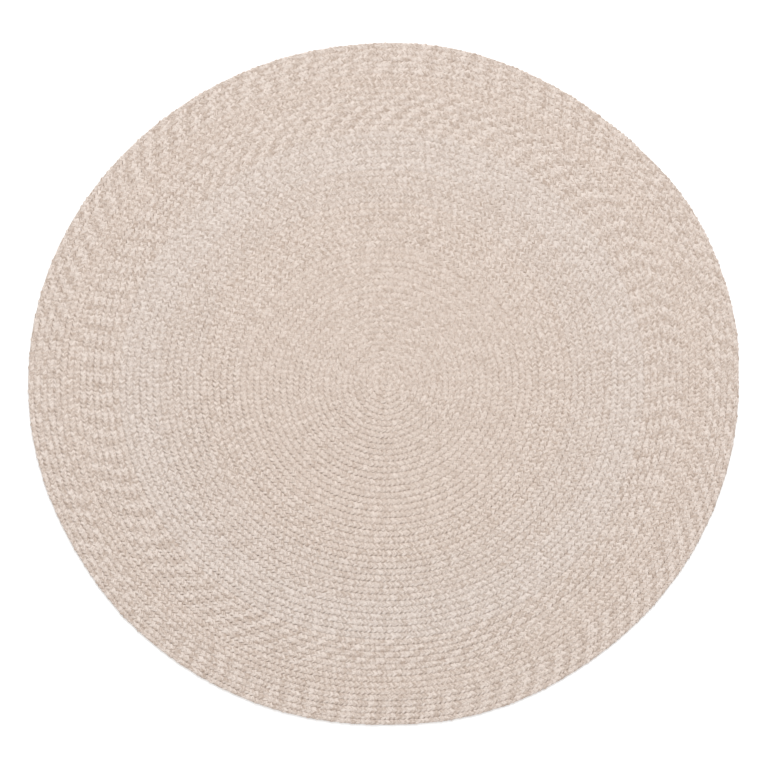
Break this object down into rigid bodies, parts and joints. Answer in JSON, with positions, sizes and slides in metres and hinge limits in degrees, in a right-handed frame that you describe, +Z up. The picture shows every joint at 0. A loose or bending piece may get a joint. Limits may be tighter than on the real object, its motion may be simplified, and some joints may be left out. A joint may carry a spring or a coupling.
{
  "type": "round rug",
  "caption": "Round braided floor rug: one long flat tubular braid coiled into a spiral and sewn edge to edge, beige melange.",
  "frame": {"origin": "centre of the coil on the flat underside", "axes": "+Z up out of the face that is walked on, XY in the plane of the floor"},
  "size_m": [1.999, 2.0007, 0.0085],
  "materials": {
    "braid": "matt pinkish beige melange yarn, cream and beige strands braided together"
  },
  "bodies": {
    "root": {"coiled_braid": "braid"}
  },
  "joints": []
}
